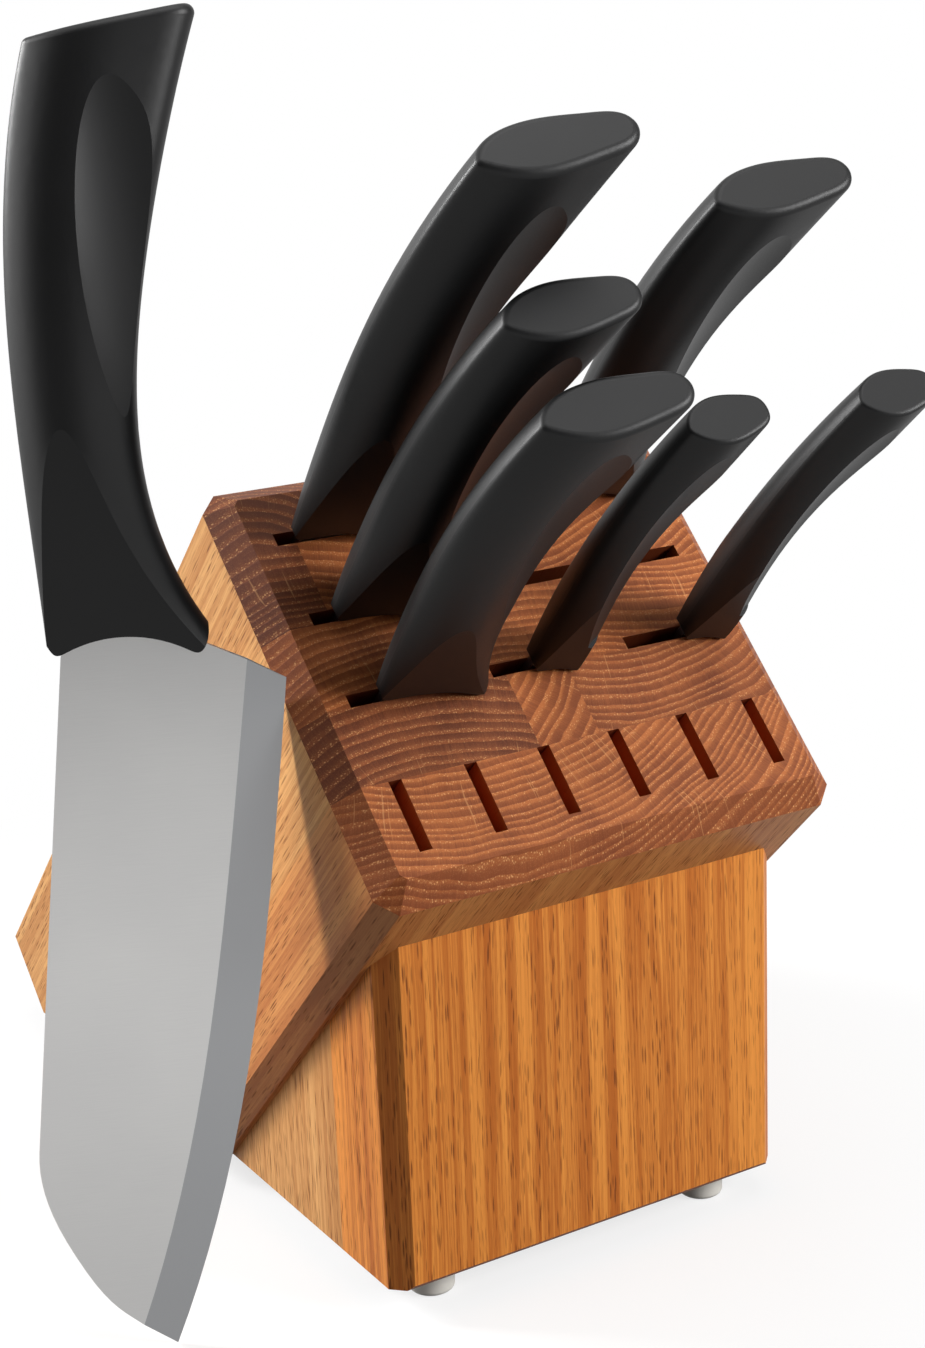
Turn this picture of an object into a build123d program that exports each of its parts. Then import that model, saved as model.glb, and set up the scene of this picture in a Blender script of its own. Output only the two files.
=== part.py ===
"""Slanted oak knife block on a wedge base, with seven knives.

Frame: millimetres, +Z up, +X to the right, +Y to the back; the front panel looks to -Y.
The origin is on the counter, in the middle of the whole set's footprint.
"""

import os
from math import cos, radians, sin, tan

from build123d import *

# Where the block stands in the frame
block_mid_x = 30.3
front_corner_y = -96.2

# Block: boards stacked front to back and glued, their length leaning forward
lean = 45.0
block_w = 122.0
block_l = 222.0
corner_rise = 101.0
front_board_t = 28.0
second_board_t = 19.0
third_board_t = 21.5
fourth_board_t = 21.5
rear_board_t = 19.0
edge_chamfer = 4.5
end_chamfer = 5.5

# Joints between the staves of a board, from the block's middle plane
second_joint_left = -10.0
second_joint_right = 6.0
third_joint = 17.5
fourth_joint = -45.0
rear_joint = 1.5

# Slots: saw grooves in the meeting faces of the boards, open at both ends
slot_t = 3.2
steak_slot_depth = 17.3
steak_pitch = 18.9
steak_slots = 6

# Base wedge: boards with upright grain
base_w = 109.0
base_setback = 17.0
base_chamfer = 4.5
base_easing = 1.4
base_front_t = 26.0
base_middle_t = 28.0

# Dowels between the base and the front board
dowel_d = 8.0
dowel_depth = 17.0
dowel_along = 68.0

# Feet and their screws
foot_d = 11.0
foot_h = 8.0
foot_round = 1.2
foot_side_inset = 15.5
foot_front_inset = 12.0
foot_rear_from_front = 183.0
screw_d = 2.8
screw_hole_gap = 0.1
screw_head_d = 5.2
screw_head_h = 2.0
screw_bite = 11.0
recess_gap = 0.3
recess_depth = 3.2

# Knives
blade_t = 2.0
cutting_edge_t = 0.3
bolster_gap = 0.4
butt_tilt = 11.0
arch_depth = 0.125
bolster_lip = 1.6
butt_round = 1.8
scoop_r = 1.727
cheek_slope = 0.229
cheek_crown = 0.029
tang_width = 0.34
tang_length = 0.62
shoulder_rise = 6.0

# Loose knife: it stands on its tip, leaning on the block's left edge
loose_tip_x = -68.1
loose_tip_y = -55.2
loose_tip_z = 0.3
loose_lean_right = 3.8
loose_lean_back = 5.1
loose_turn = 23.3

os.makedirs("parts", exist_ok=True)

block_t = front_board_t + second_board_t + third_board_t + fourth_board_t + rear_board_t
corner_z = foot_h + corner_rise
end_face = Plane(
    origin=(block_mid_x, front_corner_y, corner_z),
    x_dir=(1, 0, 0),
    z_dir=(0, -sin(radians(lean)), cos(radians(lean))),
)
half_w = block_w / 2
second_v = front_board_t
third_v = second_v + second_board_t
fourth_v = third_v + third_board_t
rear_v = fourth_v + fourth_board_t
base_front_y = front_corner_y + base_setback
base_tail_y = front_corner_y + corner_rise * tan(radians(lean))
foot_x = base_w / 2 - foot_side_inset
foot_front_y = base_front_y + foot_front_inset
foot_rear_y = front_corner_y + foot_rear_from_front
base_top_z = corner_z - base_setback / tan(radians(lean))


class Knife:
    """One knife's sizes: its place, its slot, its handle and its blade."""

    def __init__(self, name, plane, handle, blade, slot=None):
        self.name = name
        self.plane = plane
        self.side = Plane(origin=plane.origin, x_dir=plane.x_dir, z_dir=-plane.y_dir)
        self.slot = slot
        self.handle_l, self.butt_w, self.handle_t, self.cant, self.guard = handle
        self.blade_l, self.spine_x, self.blade_h, self.style = blade


def slot_plane(row_v, u):
    """A knife's own frame: X to its cutting edge, Z along it to the butt."""
    height = bolster_gap + bolster_lip
    where = end_face.from_local_coords((u, row_v + slot_t / 2, height))
    return Plane(origin=where, x_dir=end_face.x_dir, z_dir=end_face.z_dir)


def loose_plane(along):
    """The loose knife's frame, its origin the stated length above its tip."""
    up = Vector(tan(radians(loose_lean_right)), tan(radians(loose_lean_back)), 1).normalized()
    face = Vector(-sin(radians(loose_turn)), -cos(radians(loose_turn)), 0)
    to_edge = up.cross(face).normalized()
    tip = Vector(loose_tip_x, loose_tip_y, loose_tip_z)
    return Plane(origin=tip + up * along, x_dir=to_edge, z_dir=up)


# Handle: length, butt width, thickness, sideways cant at the bolster, guard
# Blade: length, spine position, height, style
knives = [
    Knife("slicer", slot_plane(rear_v, -29.9), (124.0, 34.3, 17.0, 2.9, 0.35),
          (204.0, -14.1, 26.0, "slicer"), (rear_v, -49.7, -14.5)),
    Knife("chef", slot_plane(rear_v, 34.2), (105.0, 32.5, 17.0, 4.3, 0.45),
          (196.0, -11.9, 26.0, "chef"), (rear_v, 12.5, 49.7)),
    Knife("carver", slot_plane(fourth_v, -27.5), (102.0, 29.5, 17.0, -1.1, 0.45),
          (182.0, -15.5, 24.0, "slicer"), (fourth_v, -49.7, -16.5)),
    Knife("utility", slot_plane(third_v, -26.5), (99.0, 32.4, 17.0, 1.4, 0.45),
          (150.0, -15.0, 24.0, "chef"), (third_v, -49.7, -16.0)),
    Knife("petty", slot_plane(third_v, 5.2), (88.0, 18.4, 14.5, 1.3, 0.0),
          (115.0, -8.4, 12.0, "chef"), (third_v, -13.3, 9.6)),
    Knife("paring", slot_plane(third_v, 49.2), (88.0, 18.4, 14.5, -0.8, 0.0),
          (88.0, -9.8, 11.6, "chef"), (third_v, 23.5, 51.8)),
    Knife("cooks", loose_plane(159.0), (129.5, 35.3, 17.5, 0.0, 1.0),
          (159.0, -16.7, 47.4, "cooks")),
]
# The loose knife's own slot is empty
empty_slot = (fourth_v, -1.5, 49.7)

# Handle side view: Bezier poles in butt widths, from below the bolster to above the butt
handle_from = -0.046
handle_to = 1.09
handle_sections = 7
spine_poles = (-0.547, -0.630, -0.888, -0.347)
belly_plain = (0.127, 0.127, -0.182, 0.340, 0.573)
belly_guarded = (0.649, -0.324, 0.097, 0.223, 0.605)
# Handle thickness over the same stretch, in full thicknesses
thick_poles = (1.04, 0.94, 1.02, 0.72)


def bezier(poles, s):
    """The value of a Bezier curve at s, from its poles."""
    if len(poles) == 1:
        return poles[0]
    return bezier(poles[:-1], s) * (1 - s) + bezier(poles[1:], s) * s


def section_points(x_left, x_right, t):
    """A full oval, a little thinner towards the belly."""
    w = x_right - x_left
    upper = [(0.06, 0.22), (0.38, 0.5), (0.75, 0.415), (0.965, 0.22)]
    points = [(x_left, 0)]
    points += [(x_left + a * w, b * t) for a, b in upper]
    points += [(x_right, 0)]
    points += [(x_left + a * w, -b * t) for a, b in reversed(upper)]
    return points


def tang_sketch(k):
    """The blade's shoulder and tang, as far as they lie inside the handle."""
    w = k.butt_w
    lift = k.cant * 0.75
    belly = w * (0.128 + 0.27 * k.guard) + k.cant - 2.0
    with BuildSketch(k.side) as tang:
        with BuildLine():
            Polyline(
                (k.spine_x, -6),
                (k.spine_x, shoulder_rise),
                (lift - w * 0.45, shoulder_rise),
                (lift - w * 0.45, k.handle_l * tang_length),
                (lift - w * (0.45 - tang_width), k.handle_l * tang_length),
                (lift - w * (0.45 - tang_width), shoulder_rise),
                (belly, shoulder_rise),
                (belly, -6),
                close=True,
            )
        make_face()
    return tang.sketch


def bolster_ends(k):
    """Where the spine and the guard end at the bolster, across the blade."""
    return -0.56 * k.butt_w + k.cant, (0.14 + 0.255 * k.guard) * k.butt_w + k.cant


def bolster_cut(k):
    """What is cut off under the bolster: an arch over the blade between two rounded lips."""
    spine, guard = bolster_ends(k)
    lip, far = bolster_lip, k.butt_w
    arch = ((spine + guard) / 2, arch_depth * (guard - spine) - lip)
    first = (spine - 0.9 * lip, 1.9 * lip)
    last = (guard + 0.3 * lip, 9 * lip)
    with BuildSketch(k.side) as cut:
        with BuildLine():
            Spline(
                first,
                (spine + 0.05 * lip, 0.45 * lip),
                (spine + 1.1 * lip, -0.75 * lip),
                (spine + 2.6 * lip, -0.3 * lip),
                arch,
                (guard - 2.6 * lip, -0.3 * lip),
                (guard - 1.1 * lip, -0.75 * lip),
                (guard - 0.05 * lip, 0.45 * lip),
                (guard, 5.5 * lip),
                last,
            )
            Polyline(
                last,
                (guard + far, last[1]),
                (guard + far, -far),
                (spine - far, -far),
                (spine - far, first[1]),
                first,
            )
        make_face()
    return cut.sketch


def scoop_cutter(k, face):
    """A barrel that hollows one face for the thumb, from below the butt and off the belly."""
    w, h, t = k.butt_w, k.handle_l, k.handle_t
    low = k.plane.from_local_coords((0.428 * w + 0.6 * k.cant, face * 1.709 * t, 0.38 * h))
    high = k.plane.from_local_coords((0.107 * w + 0.1 * k.cant, face * 2.014 * t, 0.87 * h))
    along = (high - low).normalized()
    across = k.plane.y_dir.cross(along).normalized()
    axis_plane = Plane(origin=(low + high) * 0.5, x_dir=across, z_dir=across.cross(along))
    middle, end, reach = scoop_r * t, 0.85 * scoop_r * t, 0.5 * h
    with BuildPart() as barrel:
        with BuildSketch(axis_plane):
            with BuildLine():
                ThreePointArc((end, -reach), (middle, 0), (end, reach))
                Polyline((end, reach), (0, reach), (0, -reach), (end, -reach))
            make_face()
        revolve(axis=Axis(axis_plane.origin, along))
    return barrel.part


def cheek_cutter(k, face):
    """A slightly crowned block that flattens one face towards the bolster."""
    w, h, t = k.butt_w, k.handle_l, k.handle_t
    guard = bolster_ends(k)[1]
    high = k.plane.from_local_coords((-0.493 * w + 0.6 * k.cant, face * 0.466 * t, 0.386 * h))
    low = k.plane.from_local_coords((guard - 0.1 * w, face * 0.339 * t, 0.011 * h))
    along = (low - high).normalized()
    outward = k.plane.y_dir * face
    down = outward.cross(along) * face - outward * cheek_slope
    cheek = Plane(origin=(low + high) * 0.5, x_dir=along, z_dir=down)
    out = 1 if cheek.y_dir.dot(outward) > 0 else -1
    reach, crown = 0.8 * (low - high).length, out * cheek_crown * t
    with BuildPart() as block:
        with BuildSketch(cheek):
            with BuildLine():
                ThreePointArc((-reach, -1.56 * crown), (0, crown), (reach, -1.56 * crown))
                Polyline((reach, -1.56 * crown), (reach, out * t), (-reach, out * t), (-reach, -1.56 * crown))
            make_face()
        extrude(amount=0.5 * h, both=True)
    return block.part


def build_handle(k, blade):
    """A moulded handle: lofted body, oblique butt, arched bolster, scooped and cheeked faces."""
    w, h, t = k.butt_w, k.handle_l, k.handle_t
    butt = Plane(
        origin=k.plane.from_local_coords((0, 0, h)),
        x_dir=k.plane.y_dir,
        z_dir=k.plane.z_dir - k.plane.x_dir * tan(radians(butt_tilt)),
    )
    with BuildPart() as handle:
        for i in range(handle_sections):
            s = i / (handle_sections - 1)
            along = handle_from + (handle_to - handle_from) * s
            shift = k.cant * (1 - along)
            plain, guarded = bezier(belly_plain, s), bezier(belly_guarded, s)
            left = bezier(spine_poles, s) * w + shift
            right = (plain + (guarded - plain) * k.guard) * w + shift
            with BuildSketch(k.plane.offset(along * h)):
                with BuildLine():
                    Spline(*section_points(left, right, bezier(thick_poles, s) * t), periodic=True)
                make_face()
        loft()
        split(bisect_by=butt, keep=Keep.BOTTOM)
        cap = handle.faces().filter_by(GeomType.PLANE).sort_by(Axis(k.plane.origin, k.plane.z_dir))[-1]
        fillet(cap.edges(), butt_round * w / 35)
        extrude(bolster_cut(k), amount=t, both=True, mode=Mode.SUBTRACT)
        for face in (1, -1):
            add(scoop_cutter(k, face), mode=Mode.SUBTRACT)
            add(cheek_cutter(k, face), mode=Mode.SUBTRACT)
        add(blade, mode=Mode.SUBTRACT)
    return handle.part


def blade_curves(k):
    """The blade's outline and, inside it, where its flat face ends at the grind."""
    s, l, d = k.spine_x, k.blade_l, k.blade_h
    if k.style == "cooks":
        spine_end = (s - 11.3, -0.70 * l)
        nose = [(s - 3.9, -0.867 * l), (s + 4.4, -0.941 * l)]
        tip = (s + 16.7, -l)
        edge = [(s + 30.9, -0.726 * l), (s + 40.8, -0.401 * l)]
        heel = (s + d, -8.5)
        flat_tip = (s + 9.4, -0.967 * l)
        grind = [(s + 24.1, -0.646 * l), (s + 33.0, -0.32 * l)]
        flat_heel = (s + d - 8.3, -4.0)
        guard = (s + 29.2, 0.5)
    elif k.style == "chef":
        spine_end = (s, -0.35 * l)
        nose = [(s + 0.10 * d, -0.66 * l), (s + 0.27 * d, -0.86 * l)]
        tip = (s + 0.50 * d, -l)
        edge = [(s + 0.72 * d, -0.90 * l), (s + 0.90 * d, -0.72 * l), (s + 0.985 * d, -0.45 * l)]
        heel = (s + d, -5.5)
        flat_tip = (s + 0.38 * d, -0.935 * l)
        grind = [(s + 0.50 * d, -0.86 * l), (s + 0.65 * d, -0.69 * l), (s + 0.74 * d, -0.42 * l)]
        flat_heel = (s + 0.78 * d, -3.5)
        guard = (s + 0.68 * d, -1.0)
    else:
        spine_end = (s, -0.80 * l)
        nose = [(s + 0.05 * d, -0.90 * l), (s + 0.22 * d, -0.965 * l)]
        tip = (s + 0.58 * d, -l)
        edge = [(s + 0.87 * d, -0.955 * l), (s + 0.97 * d, -0.89 * l), (s + 0.99 * d, -0.70 * l)]
        heel = (s + d, -5.5)
        flat_tip = (s + 0.40 * d, -0.985 * l)
        grind = [(s + 0.63 * d, -0.93 * l), (s + 0.71 * d, -0.86 * l), (s + 0.74 * d, -0.68 * l)]
        flat_heel = (s + 0.76 * d, -3.5)
        guard = (s + 0.68 * d, -1.0)
    outline = (spine_end, nose, tip, edge, heel, guard)
    flat = (spine_end, nose, flat_tip, grind, flat_heel, guard)
    return outline, flat


def blade_face(k, curves, y):
    """One closed blade outline in a plane parallel to the blade's middle."""
    spine_end, nose, tip, edge, heel, guard = curves
    s = k.spine_x
    along = (spine_end[0] - s, spine_end[1])
    with BuildSketch(k.side.offset(y)) as face:
        with BuildLine():
            Line((s, 2), spine_end)
            Spline(spine_end, *nose, tip, tangents=[along, (tip[0] - nose[-1][0], tip[1] - nose[-1][1])])
            Spline(tip, *edge, heel)
            Line(heel, guard)
            Line(guard, (guard[0], 2))
            Line((guard[0], 2), (s, 2))
        make_face()
    return face.sketch


def build_blade(k):
    """A flat ground blade: full outline at the middle, ground away to the cutting edge."""
    outline, flat = blade_curves(k)
    with BuildPart() as blade:
        extrude(blade_face(k, outline, 0), amount=cutting_edge_t / 2, both=True)
        for face in (1, -1):
            inner = blade_face(k, outline, face * cutting_edge_t / 2)
            outer = blade_face(k, flat, face * blade_t / 2)
            loft([inner, outer], ruled=True)
        extrude(tang_sketch(k), amount=blade_t / 2, both=True)
    return blade.part


def save(shape, name):
    """Writes one named piece."""
    shape.label = name
    export_step(shape, f"parts/{name}.step")


# Whole block before it is divided into boards
with BuildPart() as blank:
    with BuildSketch(end_face) as block_outline:
        with Locations((0, block_t / 2)):
            Rectangle(block_w, block_t)
        chamfer(block_outline.vertices(), edge_chamfer)
    extrude(amount=-block_l)
    slotted_end = blank.faces().filter_by(end_face).sort_by(Axis(end_face.origin, end_face.z_dir))[-1]
    chamfer(slotted_end.edges(), end_chamfer)
    split(bisect_by=Plane.XY.offset(foot_h), keep=Keep.TOP)

# Whole base wedge before it is divided into boards
with BuildPart() as base_blank:
    with BuildSketch(Plane.YZ.offset(block_mid_x - base_w / 2)):
        with BuildLine():
            Polyline(
                (base_front_y, foot_h),
                (base_front_y, base_top_z),
                (base_tail_y, foot_h),
                close=True,
            )
        make_face()
    extrude(amount=base_w)
    front_panel = base_blank.faces().filter_by(Axis.Y).sort_by(Axis.Y)[0]
    chamfer(front_panel.edges().filter_by(Axis.Z), base_chamfer)
    underside = base_blank.faces().sort_by(Axis.Z)[0]
    chamfer(underside.edges().group_by(Axis.Y)[0], base_easing)

# Loose pins and fasteners, cut from the wood they sit in
with BuildPart() as dowels:
    for u in (-2 * steak_pitch, 2 * steak_pitch):
        seat = Plane(origin=end_face.from_local_coords((u, 0, -dowel_along)), z_dir=end_face.y_dir)
        with BuildSketch(seat):
            Circle(dowel_d / 2)
        extrude(amount=dowel_depth, both=True)

foot_places = {
    "foot_front_left": (block_mid_x - foot_x, foot_front_y),
    "foot_front_right": (block_mid_x + foot_x, foot_front_y),
    "foot_rear_left": (block_mid_x - foot_x, foot_rear_y),
    "foot_rear_right": (block_mid_x + foot_x, foot_rear_y),
}
with BuildPart() as foot_screws:
    with BuildSketch(Plane.XY.offset(recess_depth - screw_head_h)):
        with Locations(*foot_places.values()):
            Circle(screw_head_d / 2)
    extrude(amount=screw_head_h)
    with BuildSketch(Plane.XY.offset(recess_depth)):
        with Locations(*foot_places.values()):
            Circle(screw_d / 2)
    extrude(amount=foot_h - recess_depth + screw_bite)

for name, place in foot_places.items():
    with BuildPart() as foot:
        with BuildSketch(Plane.XY):
            with Locations(place):
                Circle(foot_d / 2)
        extrude(amount=foot_h)
        fillet(foot.edges().sort_by(Axis.Z)[0], foot_round)
        with BuildSketch(Plane.XY):
            with Locations(place):
                Circle(screw_head_d / 2 + recess_gap)
        extrude(amount=recess_depth, mode=Mode.SUBTRACT)
        with BuildSketch(Plane.XY):
            with Locations(place):
                Circle(screw_d / 2 + screw_hole_gap)
        extrude(amount=foot_h, mode=Mode.SUBTRACT)
    save(foot.part, name)

# Boards and staves of the block: name, left, right, front, back
staves = [
    ("front_board", -half_w, half_w, 0, second_v),
    ("second_stave_left", -half_w, second_joint_left, second_v, third_v),
    ("second_stave_middle", second_joint_left, second_joint_right, second_v, third_v),
    ("second_stave_right", second_joint_right, half_w, second_v, third_v),
    ("third_stave_left", -half_w, third_joint, third_v, fourth_v),
    ("third_stave_right", third_joint, half_w, third_v, fourth_v),
    ("fourth_stave_left", -half_w, fourth_joint, fourth_v, rear_v),
    ("fourth_stave_right", fourth_joint, half_w, fourth_v, rear_v),
    ("rear_stave_left", -half_w, rear_joint, rear_v, block_t),
    ("rear_stave_right", rear_joint, half_w, rear_v, block_t),
]
large_slots = [k.slot for k in knives if k.slot] + [empty_slot]
for name, left, right, front, back in staves:
    with BuildPart() as stave:
        add(blank.part)
        with BuildSketch(end_face):
            with Locations(((left + right) / 2, (front + back) / 2)):
                Rectangle(right - left, back - front)
        extrude(amount=-block_l, mode=Mode.INTERSECT)
        for row_v, slot_left, slot_right in large_slots:
            if row_v == front and slot_left < right and slot_right > left:
                with BuildSketch(end_face):
                    with Locations(((slot_left + slot_right) / 2, row_v + slot_t / 2)):
                        Rectangle(slot_right - slot_left, slot_t)
                extrude(amount=-block_l, mode=Mode.SUBTRACT)
        if front == 0:
            with BuildSketch(end_face):
                with Locations((0, second_v - steak_slot_depth / 2)):
                    with GridLocations(steak_pitch, 1, steak_slots, 1):
                        Rectangle(slot_t, steak_slot_depth)
            extrude(amount=-block_l, mode=Mode.SUBTRACT)
            add(dowels.part, mode=Mode.SUBTRACT)
        add(foot_screws.part, mode=Mode.SUBTRACT)
    save(stave.part, name)

base_joint_front = base_front_y + base_front_t
base_joint_rear = base_joint_front + base_middle_t
base_boards = [
    ("base_front", base_front_y, base_joint_front),
    ("base_middle", base_joint_front, base_joint_rear),
    ("base_rear", base_joint_rear, base_tail_y),
]
for name, front, back in base_boards:
    with BuildPart() as board:
        add(base_blank.part)
        with BuildSketch(Plane.XY):
            with Locations((block_mid_x, (front + back) / 2)):
                Rectangle(base_w, back - front)
        extrude(amount=corner_z, mode=Mode.INTERSECT)
        add(dowels.part, mode=Mode.SUBTRACT)
        add(foot_screws.part, mode=Mode.SUBTRACT)
    save(board.part, name)

save(dowels.part, "dowels")
save(foot_screws.part, "foot_screws")

for knife in knives:
    blade_part = build_blade(knife)
    save(build_handle(knife, blade_part), f"{knife.name}_handle")
    save(blade_part, f"{knife.name}_blade")
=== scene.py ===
"""Looks of the knife block: oiled oak staves, satin steel blades and black moulded handles.

Metres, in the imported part's own frame: +Z up, +X right, the base's front panel looks to -Y.
Features of the oak and of the blades are in millimetres: their coordinates are scaled on the way in.
"""

from dataclasses import dataclass
from math import cos, radians, sin, sqrt, tan

import bpy
from mathutils import Matrix, Vector


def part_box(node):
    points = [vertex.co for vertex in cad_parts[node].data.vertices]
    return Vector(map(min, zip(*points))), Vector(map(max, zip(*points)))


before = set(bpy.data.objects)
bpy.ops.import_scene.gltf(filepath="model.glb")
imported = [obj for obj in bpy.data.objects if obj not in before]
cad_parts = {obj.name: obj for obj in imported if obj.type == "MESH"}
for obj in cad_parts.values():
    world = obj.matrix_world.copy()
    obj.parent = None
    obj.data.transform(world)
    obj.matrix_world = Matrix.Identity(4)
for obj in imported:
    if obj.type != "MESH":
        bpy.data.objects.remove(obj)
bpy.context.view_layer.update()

mm_per_metre = 1000
upright = Vector((0, 0, 1))

# Camera, fitted to the photograph
photo_height = 1348
focal_pixels = 2372.7
sensor_size = 36.0
camera_place = Vector((-0.24976, -0.49617, 0.29181))
camera_right = Vector((0.85186, -0.52227, -0.03956))
camera_down = Vector((-0.17890, -0.21915, -0.95915))
camera_forward = Vector((0.49226, 0.82414, -0.28012))

# Block: its boards lean back, and its end face starts at the front edge (y and z, in mm)
block_middle = 30.3
front_edge = (-96.2, 109.0)
lean = radians(45)
across_block = Vector((0, 1, 1)).normalized()

# From the block's middle, in metres: slots end within the first, its sides lie beyond the second
slot_reach = 0.0585
side_reach = 0.0595

# Loose knife: it leans to the right and back, and its flat is turned to the left of the front
loose_lean_right = radians(3.8)
loose_lean_back = radians(5.1)
loose_turn = radians(23.3)

# Oak: sizes of its features, twice across the grain and once along it, in mm
wander_size = (22, 22, 160)
ripple_size = (1.6, 1.6, 50)
pore_size = (0.5, 0.5, 40)
small_pore_size = (0.3, 0.3, 30)
mottle_size = (12, 12, 90)
fibre_size = (0.45, 0.45, 60)
soft_band_size = (4.5, 4.5, 400)
dash_size = (0.62, 0.62, 7)
fine_dash_size = (0.32, 0.32, 5)

# Oak: sizes of lines and rays in its end grain, in radians round the heart and mm outwards
line_size = (1 / 260, 14, 1)
ray_size = (1 / 170, 22, 1)

# Oak: how far its year rings stray, over what length their width changes and by how much, in mm
ring_wander = 4.0
ring_ripple = 0.45
width_length = 9.0
width_change = 3.5
seed_distance = 40

# Early wood through one year ring: its place from 0 to 1 and how open the wood is there
early_wood = ((0.0, 0.2), (0.07, 1.0), (0.26, 0.85), (0.5, 0.22), (0.8, 0.05), (1.0, 0.0))

# Cosines between a face and a direction, from where a look begins to where it is full
end_grain_turn = (0.55, 0.68)
chamfer_turn = (0.93, 0.8)
square_on = (0.8, 0.95)
bevel_turn = (0.9993, 0.9975)

# Sockets of a Mix node, by the kind of its data: first, second and result
mix_sockets = {"FLOAT": (2, 3, 0), "RGBA": (6, 7, 2)}


def srgb(red, green, blue):
    """A colour written as 0 to 255 screen values, for a shader socket."""
    linear = []
    for value in (red / 255, green / 255, blue / 255):
        linear.append(value / 12.92 if value <= 0.04045 else ((value + 0.055) / 1.055) ** 2.4)
    return (*linear, 1)


def between(first, second, share):
    """The colour that lies this share of the way from the first to the second."""
    return tuple(a + (b - a) * share for a, b in zip(first, second))


class Shader:
    """The nodes of a material or a world. Sockets are linked; plain values are set on the socket."""

    def __init__(self, owner):
        self.owner = owner
        owner.use_nodes = True
        self.tree = owner.node_tree
        self.tree.nodes.clear()

    def put(self, socket, value):
        if isinstance(value, bpy.types.NodeSocket):
            self.tree.links.new(value, socket)
        else:
            socket.default_value = value

    def node(self, kind, inputs=None, **settings):
        node = self.tree.nodes.new("ShaderNode" + kind)
        for key, value in settings.items():
            setattr(node, key, value)
        for key, value in (inputs or {}).items():
            self.put(node.inputs[key], value)
        return node

    def math(self, operation, *values):
        node = self.node("Math", operation=operation)
        for socket, value in zip(node.inputs, values):
            self.put(socket, value)
        return node.outputs[0]

    def times(self, first, second):
        return self.math("MULTIPLY", first, second)

    def weighted(self, *terms, start=0.0):
        """The start plus each value times its weight."""
        total = start
        for value, weight in terms:
            total = self.math("MULTIPLY_ADD", value, weight, total)
        return total

    def vector(self, operation, *values):
        node = self.node("VectorMath", operation=operation)
        for socket, value in zip(node.inputs, values):
            self.put(socket, value)
        return node

    def dot(self, first, second):
        return self.vector("DOT_PRODUCT", first, second).outputs["Value"]

    def in_mm(self, place):
        return self.vector("MULTIPLY", place, (mm_per_metre,) * 3).outputs[0]

    def stretched(self, vector, size):
        """Coordinates in which a feature of this size is about one unit wide."""
        return self.vector("MULTIPLY", vector, tuple(1 / length for length in size)).outputs[0]

    def step(self, value, start, end, low=0.0, high=1.0):
        """Goes smoothly from low at start to high at end."""
        if end < start:
            start, end, low, high = end, start, high, low
        inputs = {"Value": value, "From Min": start, "From Max": end, "To Min": low, "To Max": high}
        return self.node("MapRange", inputs, interpolation_type="SMOOTHSTEP").outputs[0]

    def noise(self, vector, scale=1.0, detail=2.0, roughness=0.5):
        inputs = {"Vector": vector, "Scale": scale, "Detail": detail, "Roughness": roughness}
        return self.node("TexNoise", inputs).outputs[0]

    def spots(self, vector, edge, middle, rare=0.0, fade=0.3):
        """Scattered round spots, one to a cell, of which the share called rare is left out."""
        cells = self.node("TexVoronoi", {"Vector": vector, "Scale": 1.0, "Randomness": 1.0})
        spot = self.step(cells.outputs["Distance"], edge, middle)
        if rare == 0:
            return spot
        chance = self.node("SeparateColor", {"Color": cells.outputs["Color"]}).outputs[0]
        return self.times(spot, self.step(chance, rare, min(1.0, rare + fade)))

    def mixed(self, kind, factor, first, second):
        at_first, at_second, at_result = mix_sockets[kind]
        node = self.node("Mix", {"Factor": factor}, data_type=kind)
        self.put(node.inputs[at_first], first)
        self.put(node.inputs[at_second], second)
        return node.outputs[at_result]

    def mix(self, factor, first, second):
        return self.mixed("RGBA", factor, first, second)

    def blend(self, factor, first, second):
        return self.mixed("FLOAT", factor, first, second)

    def ramp(self, value, stops):
        """Grey levels at places from 0 to 1."""
        node = self.node("ValToRGB", {"Fac": value})
        elements = node.color_ramp.elements
        while len(elements) < len(stops):
            elements.new(0.5)
        for element, (place, level) in zip(elements, stops):
            element.position = place
            element.color = (level, level, level, 1)
        return node.outputs[0]

    def bump(self, height, distance, strength):
        inputs = {"Height": height, "Distance": distance, "Strength": strength}
        return self.node("Bump", inputs).outputs[0]

    def principled(self, **inputs):
        named = {}
        for key, value in inputs.items():
            named[key.replace("_", " ").title().replace("Ior", "IOR")] = value
        surface = self.node("BsdfPrincipled", named)
        self.tree.links.new(surface.outputs[0], self.node("OutputMaterial").inputs["Surface"])
        return self.owner


@dataclass
class Board:
    """One stave: where the tree's heart lies across it, in mm, its ring width and its colours.

    Outside is 1 or -1 where its face to the rear or to the front shows, and 0 where neither does.
    """

    heart: tuple
    ring: float
    end_dark: tuple
    end_light: tuple
    long_dark: tuple
    long_light: tuple
    seed: int
    outside: int = 0


# Oak colours: end grain soaks up oil and goes brown, long grain stays honey coloured
brown = dict(end_dark=srgb(106, 51, 27), end_light=srgb(164, 93, 50))
# Darker end grain for the left staves: partly their own tone, partly painted shade where the left of
# the end face lies in shade
dark_brown_and_shade = dict(end_dark=srgb(90, 43, 23), end_light=srgb(142, 78, 42))
warm_brown = dict(end_dark=srgb(120, 60, 31), end_light=srgb(182, 105, 56))
pale_tan = dict(long_dark=srgb(182, 122, 66), long_light=srgb(218, 164, 102))
honey = dict(long_dark=srgb(180, 98, 36), long_light=srgb(230, 148, 66))
amber = dict(long_dark=srgb(174, 106, 54), long_light=srgb(206, 142, 80))
pore_pale = srgb(240, 184, 124)
pore_dark = srgb(84, 40, 14)
# Painted shade: darker colours for the walls and the ends inside the slots
slot_shade_brown = srgb(104, 46, 22)
slot_end_shade_brown = srgb(176, 90, 44)

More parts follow.
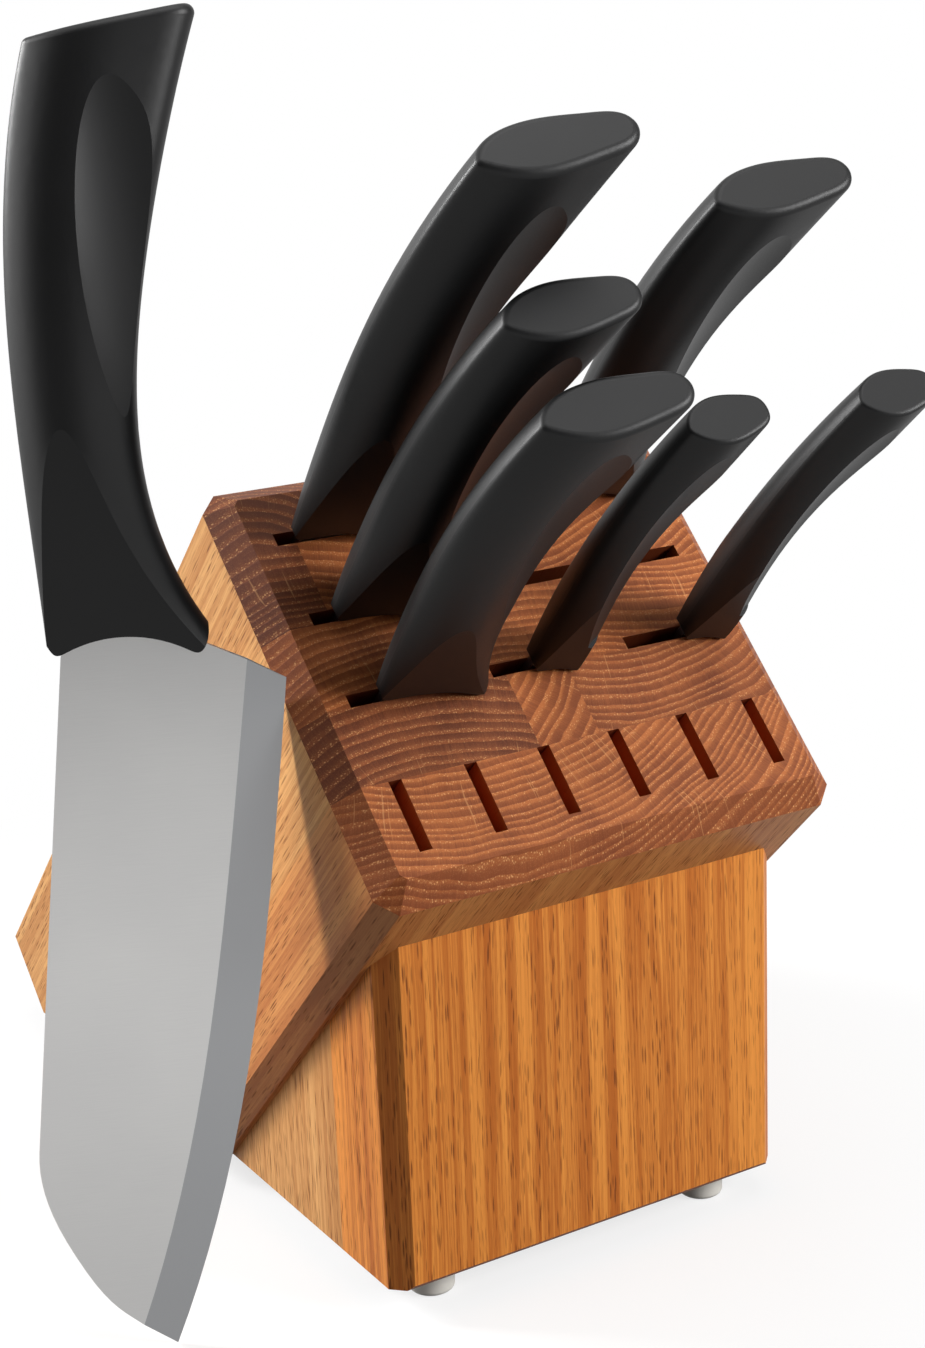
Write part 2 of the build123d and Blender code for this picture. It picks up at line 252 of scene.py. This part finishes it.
block_boards = {
    "front_board": Board((-25, 115), 1.9, **warm_brown, **amber, seed=1, outside=-1),
    "second_stave_left": Board((-38, -45), 2.7, **dark_brown_and_shade, **pale_tan, seed=2),
    "second_stave_middle": Board((-48, 84), 2.7, **warm_brown, **pale_tan, seed=3),
    "second_stave_right": Board((26, 97), 2.2, **brown, **pale_tan, seed=4),
    "third_stave_left": Board((-20, -130), 2.2, **warm_brown, **pale_tan, seed=5),
    "third_stave_right": Board((52, 180), 2.2, **warm_brown, **pale_tan, seed=6),
    "fourth_stave_left": Board((-53, -60), 2.4, **dark_brown_and_shade, **pale_tan, seed=7),
    "fourth_stave_right": Board((-10, 190), 2.6, **warm_brown, **pale_tan, seed=8),
    "rear_stave_left": Board((-57, 74), 2.8, **dark_brown_and_shade, **pale_tan, seed=9, outside=1),
    "rear_stave_right": Board((70, 10), 2.6, **brown, **pale_tan, seed=10, outside=1),
}
base_boards = {
    "base_front": Board((34, 90), 3.0, **brown, **honey, seed=11),
    "base_middle": Board((-60, 20), 3.0, **brown, **pale_tan, seed=12),
    "base_rear": Board((20, -90), 3.0, **brown, **pale_tan, seed=13),
    "dowels": Board((90, 0), 2.0, **warm_brown, **pale_tan, seed=14),
}

# Zero of the grain axes: the block's middle at its front edge, or the base's middle at its front
block_start = (block_middle, (front_edge[0] + front_edge[1]) / sqrt(2))
base_start = (block_middle, mm_per_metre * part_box("base_front")[0].y)


def grain_axis(turn):
    return tuple(Matrix.Rotation(-turn, 3, "X") @ upright)


def painted_slot_shade(s, colour, coordinate, board):
    """Paints shade on the faces inside the slots of a block's board, which look across it or sideways:
    darker colours stand in for the shade there.
    """
    normal = coordinate.outputs["Normal"]
    across = s.dot(normal, tuple(across_block))
    hidden = s.step(s.math("ABSOLUTE", across), *square_on)
    if board.outside:
        shown = s.step(s.times(across, board.outside), *square_on)
        hidden = s.math("SUBTRACT", hidden, shown)
    sideways = s.math("ABSOLUTE", s.dot(normal, (1, 0, 0)))
    place_x = s.dot(coordinate.outputs["Object"], (1, 0, 0))
    from_middle = s.math("ABSOLUTE", s.math("SUBTRACT", place_x, block_middle / mm_per_metre))
    within_sides = s.step(from_middle, side_reach, slot_reach)
    slot_end = s.times(s.step(sideways, *square_on), within_sides)
    # Painted shade inside the slots, on their walls and at their ends
    colour = s.mix(hidden, colour, slot_shade_brown)
    return s.mix(slot_end, colour, slot_end_shade_brown)


def oak(name, board, turn, start):
    """Oak whose grain runs along the local z: turn takes the frame to grain axes, start is its zero."""
    s = Shader(bpy.data.materials.new(name))
    coordinate = s.node("TexCoord")
    heart_x, heart_y = board.heart
    inputs = {
        "Vector": coordinate.outputs["Object"],
        "Rotation": (turn, 0, 0),
        "Scale": (mm_per_metre,) * 3,
        "Location": (-heart_x - start[0], -heart_y - start[1], seed_distance * board.seed),
    }
    grain = s.node("Mapping", inputs).outputs[0]

    # Year rings: circles round the heart that wander a little and differ in width
    wander_inputs = {"Vector": s.stretched(grain, wander_size), "Scale": 1.0, "Detail": 2.0}
    wander = s.node("TexNoise", wander_inputs).outputs["Color"]
    shift = s.vector("SUBTRACT", wander, (0.5, 0.5, 0.5)).outputs[0]
    bent = s.vector("MULTIPLY_ADD", shift, (ring_wander, ring_wander, 0.0), grain).outputs[0]
    outwards = s.vector("MULTIPLY", bent, (1, 1, 0)).outputs[0]
    radius = s.vector("LENGTH", outwards).outputs["Value"]
    radius = s.weighted((s.noise(s.stretched(grain, ripple_size)), ring_ripple), start=radius)
    width_inputs = {"W": s.math("DIVIDE", radius, width_length), "Scale": 1.0, "Detail": 1.0}
    widths = s.node("TexNoise", width_inputs, noise_dimensions="1D").outputs[0]
    radius = s.weighted((widths, width_change), start=radius)
    phase = s.math("FRACT", s.math("DIVIDE", radius, board.ring))
    early = s.ramp(phase, early_wood)

    # End grain: rows of pale open pores in the early wood, fine radial lines and a few strong rays.
    # Its chamfers get painted shade: their colour is pulled towards the dark end grain colour.
    facing = s.math("ABSOLUTE", s.dot(coordinate.outputs["Normal"], grain_axis(turn)))
    chamfer = s.step(facing, *chamfer_turn)
    pore = s.spots(s.stretched(bent, pore_size), edge=0.44, middle=0.2, rare=0.2)
    small_pore = s.spots(s.stretched(bent, small_pore_size), edge=0.42, middle=0.2)
    open_pores = s.times(pore, s.step(early, 0.15, 0.8))
    small_share = s.weighted((early, 0.3), start=0.08)
    open_pores = s.weighted((small_pore, small_share), start=open_pores)
    open_pores = s.math("MINIMUM", open_pores, 1.0)
    split = s.node("SeparateXYZ", {"Vector": bent})
    angle = s.math("ARCTAN2", split.outputs["Y"], split.outputs["X"])
    round_place = s.node("CombineXYZ", {"X": angle, "Y": radius}).outputs[0]
    lines = s.noise(s.stretched(round_place, line_size), detail=1.0)
    ray = s.step(s.noise(s.stretched(round_place, ray_size), detail=0.0), 0.76, 0.81)
    mottle = s.noise(s.stretched(grain, mottle_size), detail=3.0)
    band = s.weighted((early, 0.42), (mottle, 0.5), (lines, 0.34))
    end_colour = s.mix(s.step(band, 0.22, 0.9), board.end_dark, board.end_light)
    # Painted shade on the end grain chamfers
    end_colour = s.mix(s.times(chamfer, 0.45), end_colour, board.end_dark)
    pale = between(board.end_light, pore_pale, 0.6)
    pale_share = s.times(open_pores, s.weighted((chamfer, 0.1), start=0.76))
    end_colour = s.mix(pale_share, end_colour, pale)
    end_colour = s.mix(s.times(ray, 0.35), end_colour, pale)
    end_height = s.weighted((early, -0.25), (open_pores, -0.6))

    # Long grain: soft bands, fibres and dark dashes where pores are cut along their length
    fibres = s.noise(s.stretched(bent, fibre_size), detail=3.0, roughness=0.6)
    soft_bands = s.noise(s.stretched(bent, soft_band_size))
    tone = s.weighted((fibres, 0.45), (soft_bands, 0.5), (early, -0.1))
    long_colour = s.mix(s.step(tone, 0.31, 0.61), board.long_dark, board.long_light)
    dash = s.spots(s.stretched(bent, dash_size), edge=0.44, middle=0.2, rare=0.25)
    dash = s.times(dash, s.weighted((early, 0.45), start=0.55))
    fine_dash = s.spots(s.stretched(bent, fine_dash_size), edge=0.36, middle=0.14, rare=0.1)
    dash = s.math("MAXIMUM", dash, s.times(fine_dash, 0.3))
    deep = between(board.long_dark, pore_dark, 0.75)
    long_colour = s.mix(s.times(dash, 0.9), long_colour, deep)
    long_height = s.weighted((fibres, 0.3), (dash, -0.8))
    # Block boards get painted shade inside their slots
    if board in block_boards.values():
        long_colour = painted_slot_shade(s, long_colour, coordinate, board)

    end_grain = s.step(facing, *end_grain_turn)
    height = s.blend(end_grain, long_height, end_height)
    long_rough = s.weighted((dash, 0.2), start=0.42)
    end_rough = s.weighted((open_pores, 0.15), start=0.55)
    return s.principled(
        base_color=s.mix(end_grain, long_colour, end_colour),
        roughness=s.blend(end_grain, long_rough, end_rough),
        specular_ior_level=0.2,
        normal=s.bump(height, distance=0.0001, strength=0.5),
    )


def satin_steel(name, flat_normal):
    """Blade steel with fine lines across the flat, and a greyer ground bevel along the edge."""
    dull, bright, ground = srgb(224, 223, 222), srgb(233, 232, 230), srgb(178, 179, 181)
    fine_line_size, cloud_size = (6, 6, 0.12), (35, 35, 35)
    s = Shader(bpy.data.materials.new(name))
    coordinate = s.node("TexCoord")
    place = s.in_mm(coordinate.outputs["Object"])
    facing = s.math("ABSOLUTE", s.dot(coordinate.outputs["Normal"], tuple(flat_normal)))
    bevel = s.step(facing, *bevel_turn)
    lines = s.noise(s.stretched(place, fine_line_size))
    cloud = s.noise(s.stretched(place, cloud_size))
    shade = s.weighted((lines, 0.1), (cloud, 0.16))
    flat = s.mix(s.step(shade, 0.06, 0.22), dull, bright)
    return s.principled(
        base_color=s.mix(bevel, flat, ground),
        metallic=1.0,
        roughness=s.weighted((bevel, 0.08), (lines, 0.08), start=0.26),
        normal=s.bump(lines, distance=0.00002, strength=0.15),
    )


def black_plastic(name):
    """Moulded handle: near black, with a fine sandy skin that is slightly uneven in gloss."""
    s = Shader(bpy.data.materials.new(name))
    place = s.node("TexCoord").outputs["Object"]
    skin = s.noise(place, scale=2600.0)
    handled = s.noise(place, scale=38.0, detail=3.0)
    return s.principled(
        base_color=s.mix(skin, srgb(3, 3, 4), srgb(8, 8, 9)),
        roughness=s.weighted((handled, 0.1), (skin, 0.08), start=0.36),
        specular_ior_level=0.36,
        normal=s.bump(skin, distance=0.00008, strength=0.05),
    )


def foot_plastic(name):
    """Off-white feet, slightly cloudy."""
    s = Shader(bpy.data.materials.new(name))
    place = s.node("TexCoord").outputs["Object"]
    cloud = s.noise(place, scale=160.0, detail=3.0)
    return s.principled(
        base_color=s.mix(cloud, srgb(208, 204, 196), srgb(226, 222, 214)),
        roughness=s.weighted((cloud, 0.15), start=0.38),
        normal=s.bump(s.noise(place, scale=1400.0), distance=0.00005, strength=0.2),
    )


def screw_steel(name):
    """Zinc-coated screws under the feet."""
    s = Shader(bpy.data.materials.new(name))
    place = s.node("TexCoord").outputs["Object"]
    grey = s.noise(place, scale=900.0, detail=3.0)
    return s.principled(
        base_color=s.mix(grey, srgb(150, 148, 140), srgb(192, 190, 182)),
        metallic=1.0,
        roughness=s.weighted((grey, 0.2), start=0.3),
        normal=s.bump(grey, distance=0.00003, strength=0.2),
    )


def loose_flat_normal():
    up = Vector((tan(loose_lean_right), tan(loose_lean_back), 1)).normalized()
    face = Vector((-sin(loose_turn), -cos(loose_turn), 0))
    return up.cross(up.cross(face)).normalized()


def paint(node, material):
    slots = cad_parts[node].data.materials
    slots.clear()
    slots.append(material)


for node, board in block_boards.items():
    paint(node, oak("oak_" + node, board, -lean, block_start))
for node, board in base_boards.items():
    paint(node, oak("oak_" + node, board, 0, base_start))

handle = black_plastic("handle_black")
slot_steel = satin_steel("steel_slotted", across_block)
loose_steel = satin_steel("steel_loose", loose_flat_normal())
foot = foot_plastic("foot_offwhite")
screw = screw_steel("screw_zinc")
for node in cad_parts:
    if node.endswith("_handle"):
        paint(node, handle)
    elif node == "cooks_blade":
        paint(node, loose_steel)
    elif node.endswith("_blade"):
        paint(node, slot_steel)
    elif node == "foot_screws":
        paint(node, screw)
    elif node.startswith("foot_"):
        paint(node, foot)


def towards(side, height):
    """A direction in degrees: side 0 is the front, 90 the right and 270 the left."""
    side, height = radians(side), radians(height)
    return Vector((sin(side) * cos(height), -cos(side) * cos(height), sin(height)))


def seen_by_eye(s, rays):
    """1 for rays of the camera, also through something clear, and 0 for others."""
    return s.math("MAXIMUM", rays.outputs["Is Camera Ray"], rays.outputs["Is Transmission Ray"])


def make_floor():
    """A white floor: near the set it takes shadows, and further off it is plain white.

    Gloss sees it white too, dimmed near the set as painted shade and far away as painted falloff, so
    the blades mirror a gradient.
    The light that it throws back on the set is that of a grey floor.
    """
    half_size = 6.0
    gloss_share = 0.8
    floor_white, floor_grey = srgb(250, 250, 250), srgb(110, 110, 110)
    mesh = bpy.data.meshes.new("floor")
    corners = [
        (-half_size, -half_size, 0),
        (half_size, -half_size, 0),
        (half_size, half_size, 0),
        (-half_size, half_size, 0),
    ]
    mesh.from_pydata(corners, [], [(0, 1, 2, 3)])
    floor = bpy.data.objects.new("floor", mesh)
    bpy.context.scene.collection.objects.link(floor)
    s = Shader(bpy.data.materials.new("floor_white"))
    distance = s.vector("LENGTH", s.node("TexCoord").outputs["Object"]).outputs["Value"]
    rays = s.node("LightPath")
    seen = seen_by_eye(s, rays)
    glossy = rays.outputs["Is Glossy Ray"]
    plain = s.times(seen, s.step(distance, 0.1, 0.3, low=0.74, high=1.0))
    plain = s.weighted((glossy, gloss_share), start=plain)
    matte = s.node("BsdfDiffuse", {"Color": s.mix(seen, floor_grey, floor_white)})
    # Painted shade and falloff: the glow that gloss sees is dimmed near the set and far away
    gloss_shade_near_set = s.step(distance, 0.1, 0.6, low=0.7, high=1.0)
    gloss_falloff_far_off = s.step(distance, 1.0, 3.0, low=1.0, high=0.75)
    strength = s.blend(glossy, 1.0, s.times(gloss_shade_near_set, gloss_falloff_far_off))
    white = s.node("Emission", {"Color": (1, 1, 1, 1), "Strength": strength})
    shader = s.node("MixShader", {"Fac": plain})
    s.tree.links.new(matte.outputs[0], shader.inputs[1])
    s.tree.links.new(white.outputs[0], shader.inputs[2])
    s.tree.links.new(shader.outputs[0], s.node("OutputMaterial").inputs["Surface"])
    mesh.materials.append(s.owner)


def make_world():
    """White to the eye. Matte surfaces get only a little light from it.

    Gloss sees a bright wall behind the set, a bright ceiling and a bright patch low at the front,
    and a dark room elsewhere.
    """
    camera_side = (-0.51, -0.86, 0.0)
    patch = tuple(towards(20, 6))
    dark_level, matte_level = 0.05, 0.06
    world = bpy.data.worlds.new("studio")
    bpy.context.scene.world = world
    s = Shader(world)
    direction = s.node("TexCoord").outputs["Generated"]
    up = s.node("SeparateXYZ", {"Vector": direction}).outputs["Z"]
    studio = s.step(s.dot(direction, camera_side), -0.9, -0.4, low=1.0, high=dark_level)
    studio = s.math("MAXIMUM", studio, s.step(s.dot(direction, patch), 0.85, 0.98))
    studio = s.math("MAXIMUM", studio, s.step(up, 0.45, 0.85))
    rays = s.node("LightPath")
    gloss = s.times(rays.outputs["Is Glossy Ray"], studio)
    strength = s.math("MAXIMUM", seen_by_eye(s, rays), gloss)
    strength = s.math("MAXIMUM", strength, matte_level)
    background = s.node("Background", {"Color": (1, 1, 1, 1), "Strength": strength})
    s.tree.links.new(background.outputs[0], s.node("OutputWorld").inputs["Surface"])


def add_light(name, side, height, distance, power, size):
    """A rectangular soft light that looks at the middle of the set."""
    set_middle = Vector((0, 0, 0.12))
    data = bpy.data.lights.new(name, "AREA")
    data.shape = "RECTANGLE"
    data.size, data.size_y = size
    data.energy = power
    light = bpy.data.objects.new(name, data)
    light.location = set_middle + distance * towards(side, height)
    light.rotation_euler = (-towards(side, height)).to_track_quat("-Z", "Y").to_euler()
    bpy.context.scene.collection.objects.link(light)


def make_camera():
    data = bpy.data.cameras.new("camera")
    data.sensor_width = sensor_size
    data.lens = focal_pixels / photo_height * sensor_size
    camera = bpy.data.objects.new("camera", data)
    axes = Matrix((camera_right, -camera_down, -camera_forward)).transposed()
    camera.matrix_world = Matrix.Translation(camera_place) @ axes.to_4x4()
    bpy.context.scene.collection.objects.link(camera)
    bpy.context.scene.camera = camera


make_floor()
make_world()
add_light("key_right", side=38, height=22, distance=1.3, power=18.4, size=(0.5, 0.7))
add_light("rim_left", side=225, height=27, distance=1.2, power=17.5, size=(0.3, 0.4))
add_light("fill_left", side=240, height=25, distance=1.2, power=7.0, size=(1.2, 1.2))
add_light("top", side=30, height=80, distance=1.3, power=5.5, size=(0.9, 0.9))
make_camera()
bpy.context.scene.view_settings.view_transform = "Standard"
